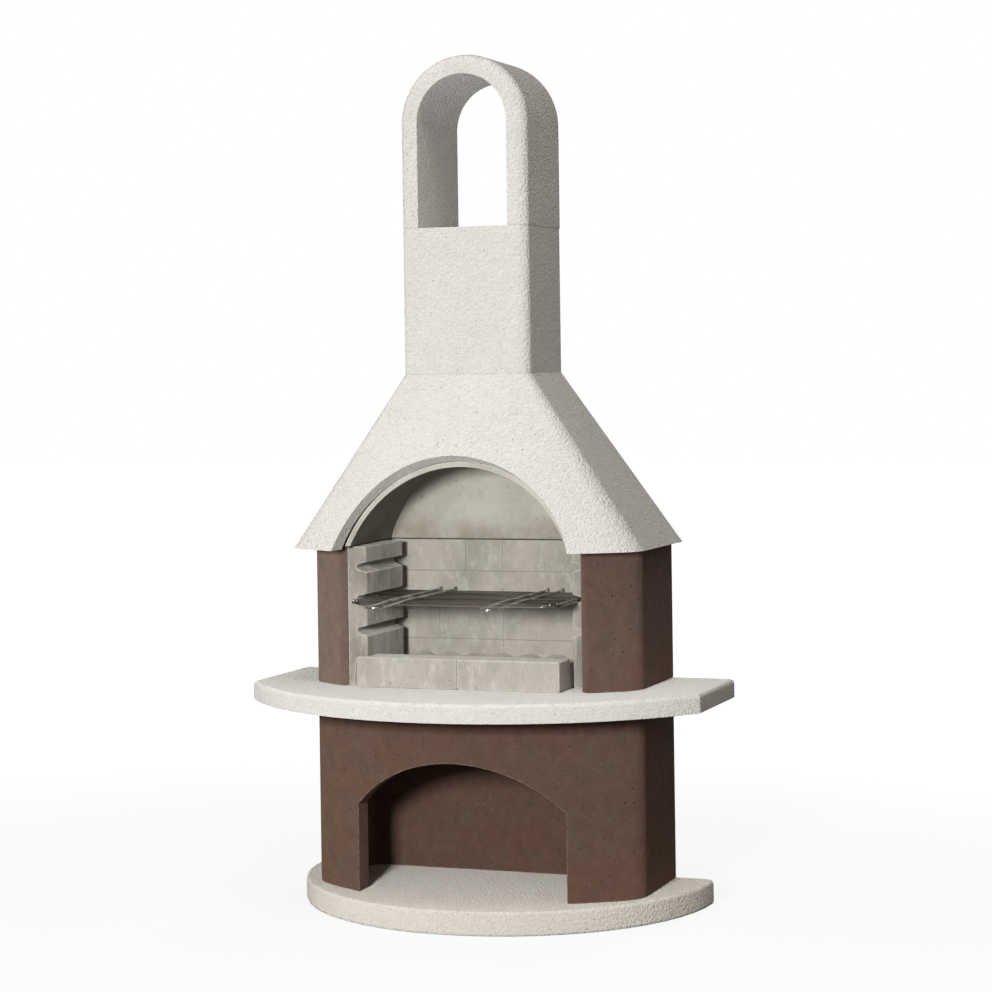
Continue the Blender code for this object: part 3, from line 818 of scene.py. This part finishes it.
@dataclass
class CookingGrid:
    """The chromed grid, laid out on its solid.

    Attributes:
        frame_radius: The radius of the frame wire.
        bar_radius: The radius of the bars.
        loop_radius: The radius of the handle loops.
        corner: How far the frame's corners are cut off.
        corner_ease: How far from a corner of the frame its rounding starts.
        bars: The number of bars.
        depth: The distance between the frame's front and back wires.
        outset: How far the frame is drawn past the solid's flat-sided wire.
        loop_centre: The distance of a handle's middle from the grid's middle.
        loop_half_width: Half the width of a handle.
        loop_reach: How far a handle stands out in front of the frame.
        loop_drop: How far a handle's front end dips.
        tail: How far a handle's ends stand out behind the frame.
        tail_rise: How far those ends rise.
        overlap: How far crossing wires run into each other.
        weld_radius: The radius of a weld bead.
        handle_polish_and_highlight: How polished the handles are and how bright their painted highlight is,
            from 0 to 1.
        half_width: Half the distance between the middles of the frame's side wires.
        handle_end: The Y up to which a handle lies in front of the frame.
        front: The Y of the frame's front wire.
        back: The Y of its back wire.
        frame_level: The height of the frame wire's middle.
        bar_level: The height of the bars' middles.
        loop_level: The height of the handles' middles.
    """

    frame_radius: float = 0.003
    bar_radius: float = 0.002
    loop_radius: float = 0.0025
    corner: float = 0.032
    corner_ease: float = 0.008
    bars: int = 24
    depth: float = 0.365
    outset: float = 0.0001
    loop_centre: float = 0.15
    loop_half_width: float = 0.021
    loop_reach: float = 0.15
    loop_drop: float = 0.004
    tail: float = 0.012
    tail_rise: float = 0.004
    overlap: float = 0.0005
    weld_radius: float = 0.0028
    handle_polish_and_highlight: float = 0.6
    half_width: float = field(init=False)
    handle_end: float = field(init=False)
    front: float = field(init=False)
    back: float = field(init=False)
    frame_level: float = field(init=False)
    bar_level: float = field(init=False)
    loop_level: float = field(init=False)

    def __post_init__(self) -> None:
        """Take the places of the wires from the solid's box."""
        low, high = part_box("cooking_grid")
        self.half_width = (high.x - low.x) / 2 - self.frame_radius + self.outset
        self.handle_end = low.y + self.loop_reach
        self.front = self.handle_end + self.loop_radius
        self.back = self.front + self.depth
        self.frame_level = low.z + self.frame_radius
        self.bar_level = self.frame_level + self.frame_radius + self.bar_radius - self.overlap
        self.loop_level = self.bar_level + self.bar_radius + self.loop_radius - 2 * self.overlap

    def frame_wire(self) -> Wire:
        """Lay out the wire round the grid.

        Returns:
            The closed wire.
        """
        width, front, back, cut = self.half_width, self.front, self.back, self.corner
        outline = [(width, back - cut), (width - cut, back), (cut - width, back), (-width, back - cut),
                   (-width, front + cut), (cut - width, front), (width - cut, front), (width, front + cut)]
        return Wire([(x, y, self.frame_level) for x, y in self.rounded(outline)], self.frame_radius, True)

    def bar_wires(self) -> list[Wire]:
        """Lay out the bars.

        Returns:
            The bars from the front to the back.
        """
        wires = []
        for index in range(self.bars):
            y = self.front + (self.back - self.front) * (index + 1) / (self.bars + 1)
            edge = min(y - self.front, self.back - y)
            reach = self.half_width - max(self.corner - edge, 0) + self.frame_radius / 2
            wires.append(Wire([(-reach, y, self.bar_level), (reach, y, self.bar_level)], self.bar_radius))
        return wires

    def rounded(self, outline: list[tuple[float, float]], arc_steps: int = 4) -> list[tuple[float, float]]:
        """Return a closed outline with its corners rounded.

        Args:
            outline: The corners.
            arc_steps: The number of straight steps round a corner.

        Returns:
            The points.
        """
        points = []
        for index, corner in enumerate(outline):
            before = Vector(outline[index - 1])
            after = Vector(outline[(index + 1) % len(outline)])
            here = Vector(corner)
            start = here + (before - here).normalized() * self.corner_ease
            end = here + (after - here).normalized() * self.corner_ease
            for step in range(arc_steps + 1):
                share = step / arc_steps
                point = start * (1 - share) ** 2 + here * 2 * share * (1 - share) + end * share ** 2
                points.append(tuple(point))
        return points

    def loop_wire(self, centre: float, arc_steps: int = 12) -> Wire:
        """Return a handle, from its left rear end round the front to the right one.

        Args:
            centre: The X of its middle.
            arc_steps: The number of straight steps round its front end.

        Returns:
            The wire.
        """
        half, front, back, level = self.loop_half_width, self.front, self.back, self.loop_level
        left = [(-half, back + self.tail, level + self.tail_rise),
                (-half, back + self.tail / 3, level + self.tail_rise * 0.3),
                (-half, back - self.tail / 2, level), (-half, front, level),
                (-half, front - self.loop_reach / 2, level - self.loop_drop * 0.6)]
        bend = []
        for step in range(arc_steps + 1):
            angle = math.pi + math.pi * step / arc_steps
            bend.append((half * math.cos(angle), front - self.loop_reach + half * (1 + math.sin(angle)),
                         level - self.loop_drop))
        right = [(-x, y, z) for x, y, z in reversed(left)]
        return Wire([(centre + x, y, z) for x, y, z in left + bend + right], self.loop_radius)

    def wires(self) -> list[Wire]:
        """Return all wires of the grid."""
        loops = [self.loop_wire(side * self.loop_centre) for side in (-1, 1)]
        return [self.frame_wire(), *self.bar_wires(), *loops]

    def crossings(self) -> list[Point]:
        """Find the places of the weld beads, which stand out above the wires.

        Returns:
            Their middles.
        """
        frame_bead = self.bar_level + self.bar_radius * 0.5
        loop_bead = self.loop_level + self.bar_radius * 0.7
        places = []
        for side in (-1, 1):
            for bar in self.bar_wires():
                reach, y, _ = bar.points[1]
                places.append((side * (reach - self.frame_radius), y, frame_bead))
                places += [(side * self.loop_centre + offset, y, loop_bead)
                           for offset in (-self.loop_half_width, self.loop_half_width)]
        return places

    def weld(self, mesh: bpy.types.Mesh) -> None:
        """Add a bead at each crossing, and mark the polished wires, which get a painted highlight.

        Args:
            mesh: The mesh of the wires.
        """
        work = bmesh.new()
        work.from_mesh(mesh)
        polish_and_highlight = work.faces.layers.float.new("polish_and_highlight")
        for face in work.faces:
            face[polish_and_highlight] = self.handle_polish_and_highlight * (face.calc_center_median().y < self.handle_end)
        for place in self.crossings():
            made = bmesh.ops.create_icosphere(work, subdivisions=2, radius=self.weld_radius,
                                              matrix=Matrix.Translation(place))
            for face in {face for corner in made["verts"] for face in corner.link_faces}:
                face[polish_and_highlight] = 1.0
        work.to_mesh(mesh)
        work.free()

    def build(self, shop: Workshop) -> bpy.types.Object:
        """Return the finished grid.

        Args:
            shop: The workshop that delivers it.

        Returns:
            The object.
        """
        curve = bpy.data.curves.new("grid_wires", "CURVE")
        curve.dimensions = "3D"
        curve.bevel_depth = 1.0
        curve.bevel_resolution = 3
        curve.use_fill_caps = True
        for wire in self.wires():
            spline = curve.splines.new("POLY")
            spline.points.add(len(wire.points) - 1)
            for point, place in zip(spline.points, wire.points):
                point.co = (*place, 1)
                point.radius = wire.radius
            spline.use_cyclic_u = wire.closed
        carrier = bpy.data.objects.new("grid_wires", curve)
        bpy.context.scene.collection.objects.link(carrier)
        bpy.context.view_layer.update()
        solved = carrier.evaluated_get(bpy.context.evaluated_depsgraph_get())
        mesh = bpy.data.meshes.new_from_object(solved)
        bpy.data.objects.remove(carrier)
        bpy.data.curves.remove(curve)
        self.weld(mesh)
        mesh.shade_smooth()
        mesh.set_sharp_from_angle(angle=WIRE_CREASE_ANGLE)
        return shop.deliver("wire_cooking_grid", mesh, WIRE, Body.GRID, ["cooking_grid"])


@dataclass(frozen=True)
class Lamp:
    """A square soft light.

    Attributes:
        name: Its name.
        place: Where it stands.
        target: What it points at.
        size: The length of its side.
        power: Its power in watts.
        colour: Its colour.
    """

    name: str
    place: Point
    target: Point
    size: float
    power: float
    colour: Colour

    def build(self) -> None:
        """Set it up."""
        data = bpy.data.lights.new(self.name, "AREA")
        data.shape = "SQUARE"
        data.size = self.size
        data.energy = self.power
        data.color = self.colour
        light = bpy.data.objects.new(self.name, data)
        bpy.context.scene.collection.objects.link(light)
        light.location = self.place
        light.rotation_mode = "QUATERNION"
        light.rotation_quaternion = (Vector(self.target) - Vector(self.place)).to_track_quat("-Z", "Y")


@dataclass
class Studio:
    """The floor, the lights and the camera.

    Attributes:
        eye: The camera's place.
        right: The direction of the image's x axis.
        up: The direction of the image's y axis, upwards.
        focal_px: The focal length in pixels of the square image.
        centre_px: The principal point in those pixels.
        image_px: The width of the image.
        sensor_mm: The width of the sensor.
        sky: The strength of the even light from all round.
        sky_colour: The colour of that light.
        floor_half: Half the width of the floor.
        floor_drop: How far the floor lies below the ground plane, clear of the slab.
        floor_tone: How pale the floor is.
        floor_glow: How much light the camera alone sees from the floor near the middle.
        glow_reach: The distances from the middle between which that light grows to full white.
        lamps: The soft lights.
    """

    eye: Point = (2.3798, -6.2789, 1.4021)
    right: Point = (0.936588, 0.350140, -0.014317)
    up: Point = (0.009717, 0.014891, 0.999842)
    focal_px: float = 2633.71
    centre_px: tuple[float, float] = (476.90, 394.74)
    image_px: float = 992.0
    sensor_mm: float = 36.0
    sky: float = 0.215
    sky_colour: Colour = (1.0, 0.87, 0.75)
    floor_half: float = 30.0
    floor_drop: float = 0.0005
    floor_tone: float = 0.16
    floor_glow: float = 0.865
    glow_reach: tuple[float, float] = (1.2, 4.5)
    lamps: tuple[Lamp, ...] = (
        Lamp("key", (0.38, -4.6, 1.5), (0, 0, 1.08), 0.6, 163.0, (1.0, 0.995, 0.985)),
        Lamp("top", (1.1, -1.8, 6.0), (0, 0, 0.6), 2.5, 72.0, (1.0, 0.985, 0.97)),
        Lamp("back", (0.5, 4.8, 2.6), (0, 0, 1.1), 2.0, 60.0, (1.0, 0.98, 0.95)),
    )

    def camera(self) -> None:
        """Place the camera at the photograph's angle."""
        data = bpy.data.cameras.new("camera")
        data.sensor_width = self.sensor_mm
        data.lens = self.focal_px * self.sensor_mm / self.image_px
        data.shift_x = (self.image_px / 2 - self.centre_px[0]) / self.image_px
        data.shift_y = (self.centre_px[1] - self.image_px / 2) / self.image_px
        data.clip_start = 0.05
        data.clip_end = 200
        camera = bpy.data.objects.new("camera", data)
        bpy.context.scene.collection.objects.link(camera)
        right = Vector(self.right).normalized()
        up = Vector(self.up).normalized()
        back = right.cross(up).normalized()
        turn = Matrix((right, up, back)).transposed()
        camera.matrix_world = Matrix.Translation(self.eye) @ turn.to_4x4()
        bpy.context.scene.camera = camera

    def world(self) -> None:
        """Light the scene evenly, and show plain white to the camera."""
        world = bpy.data.worlds.new("studio")
        bpy.context.scene.world = world
        world.use_nodes = True
        world.node_tree.nodes.clear()
        graph = Graph(world.node_tree)
        kind = "ShaderNodeBackground"
        lit = graph.node(kind, {}, {"Color": (*self.sky_colour, 1), "Strength": self.sky})[0]
        seen = graph.node(kind, {}, {"Color": (1, 1, 1, 1), "Strength": 1.0})[0]
        mixed = graph.node("ShaderNodeMixShader", {}, [graph.camera_ray(), lit, seen])[0]
        graph.node("ShaderNodeOutputWorld", {}, {"Surface": mixed})

    def floor(self) -> None:
        """Lay a plain pale floor."""
        work = bmesh.new()
        bmesh.ops.create_grid(work, x_segments=1, y_segments=1, size=self.floor_half)
        mesh = bpy.data.meshes.new("floor")
        work.to_mesh(mesh)
        work.free()
        floor = bpy.data.objects.new("floor", mesh)
        floor.location.z = -self.floor_drop
        bpy.context.scene.collection.objects.link(floor)
        graph = Surface("floor")
        grain = graph.noise(0.4, 2, 0.5).between(0.98, 1.02)
        colour = graph.scaled((self.floor_tone,) * 3, grain)
        distance = graph.node("ShaderNodeVectorMath", {"operation": "LENGTH"}, [graph.place])[0]
        glow = graph.camera_ray() * distance.step(*self.glow_reach).between(self.floor_glow, 1.0)
        light = graph.scaled((1.0, 1.0, 1.0), glow)
        mesh.materials.append(graph.dress(Base_Color=colour, Roughness=0.95, Specular_IOR_Level=0.0,
                                          Emission_Color=light, Emission_Strength=1.0))

    def build(self) -> None:
        """Set up the whole studio."""
        self.camera()
        self.world()
        self.floor()
        for lamp in self.lamps:
            lamp.build()
        log.info("studio: %d lamps", len(self.lamps))


def main() -> None:
    """Set the studio and build the barbecue from the ground up."""
    logging.basicConfig(level=logging.INFO, format="%(message)s")
    bpy.context.scene.view_settings.view_transform = "Standard"
    Studio().build()
    shop = Workshop()
    courses = [
        Course("plinth", [
            Casting("base_slab", BASE, sharp=80),
            Casting("wood_store", STORE_BROWN, 0.004),
            Casting("table_slab", TABLE, 0.002, sharp=55)]),
        Course("firebox", [
            Casting("left_cheek", PALE_BROWN),
            Casting("right_cheek", BROWN),
            Casting("back_wall", BROWN),
            Casting("left_lining", SIDE_LINING, 0.003),
            Casting("right_lining", SIDE_LINING, 0.003),
            Casting("left_back_lining", LINING, 0.0012, 2, scored=True),
            Casting("right_back_lining", LINING, 0.0012, 2, scored=True),
            Casting("hearth_plate", LINING, 0.0018),
            Casting("left_curb_brick", CURB, 0.002, sharp=40),
            Casting("right_curb_brick", CURB, 0.002, sharp=40)]),
        Course("hood", [
            Casting("hood", WHITE, 0.006, 4, sharp=40),
            Casting("hood_vault", VAULT, 0.003, sooty_and_shaded=True)]),
        Course("chimney", [
            Casting("flue_block", WHITE),
            Casting("chimney_arch", WHITE)]),
    ]
    for course in courses:
        course.build(shop)
    CookingGrid().build(shop)


if __name__ == "__main__":
    main()
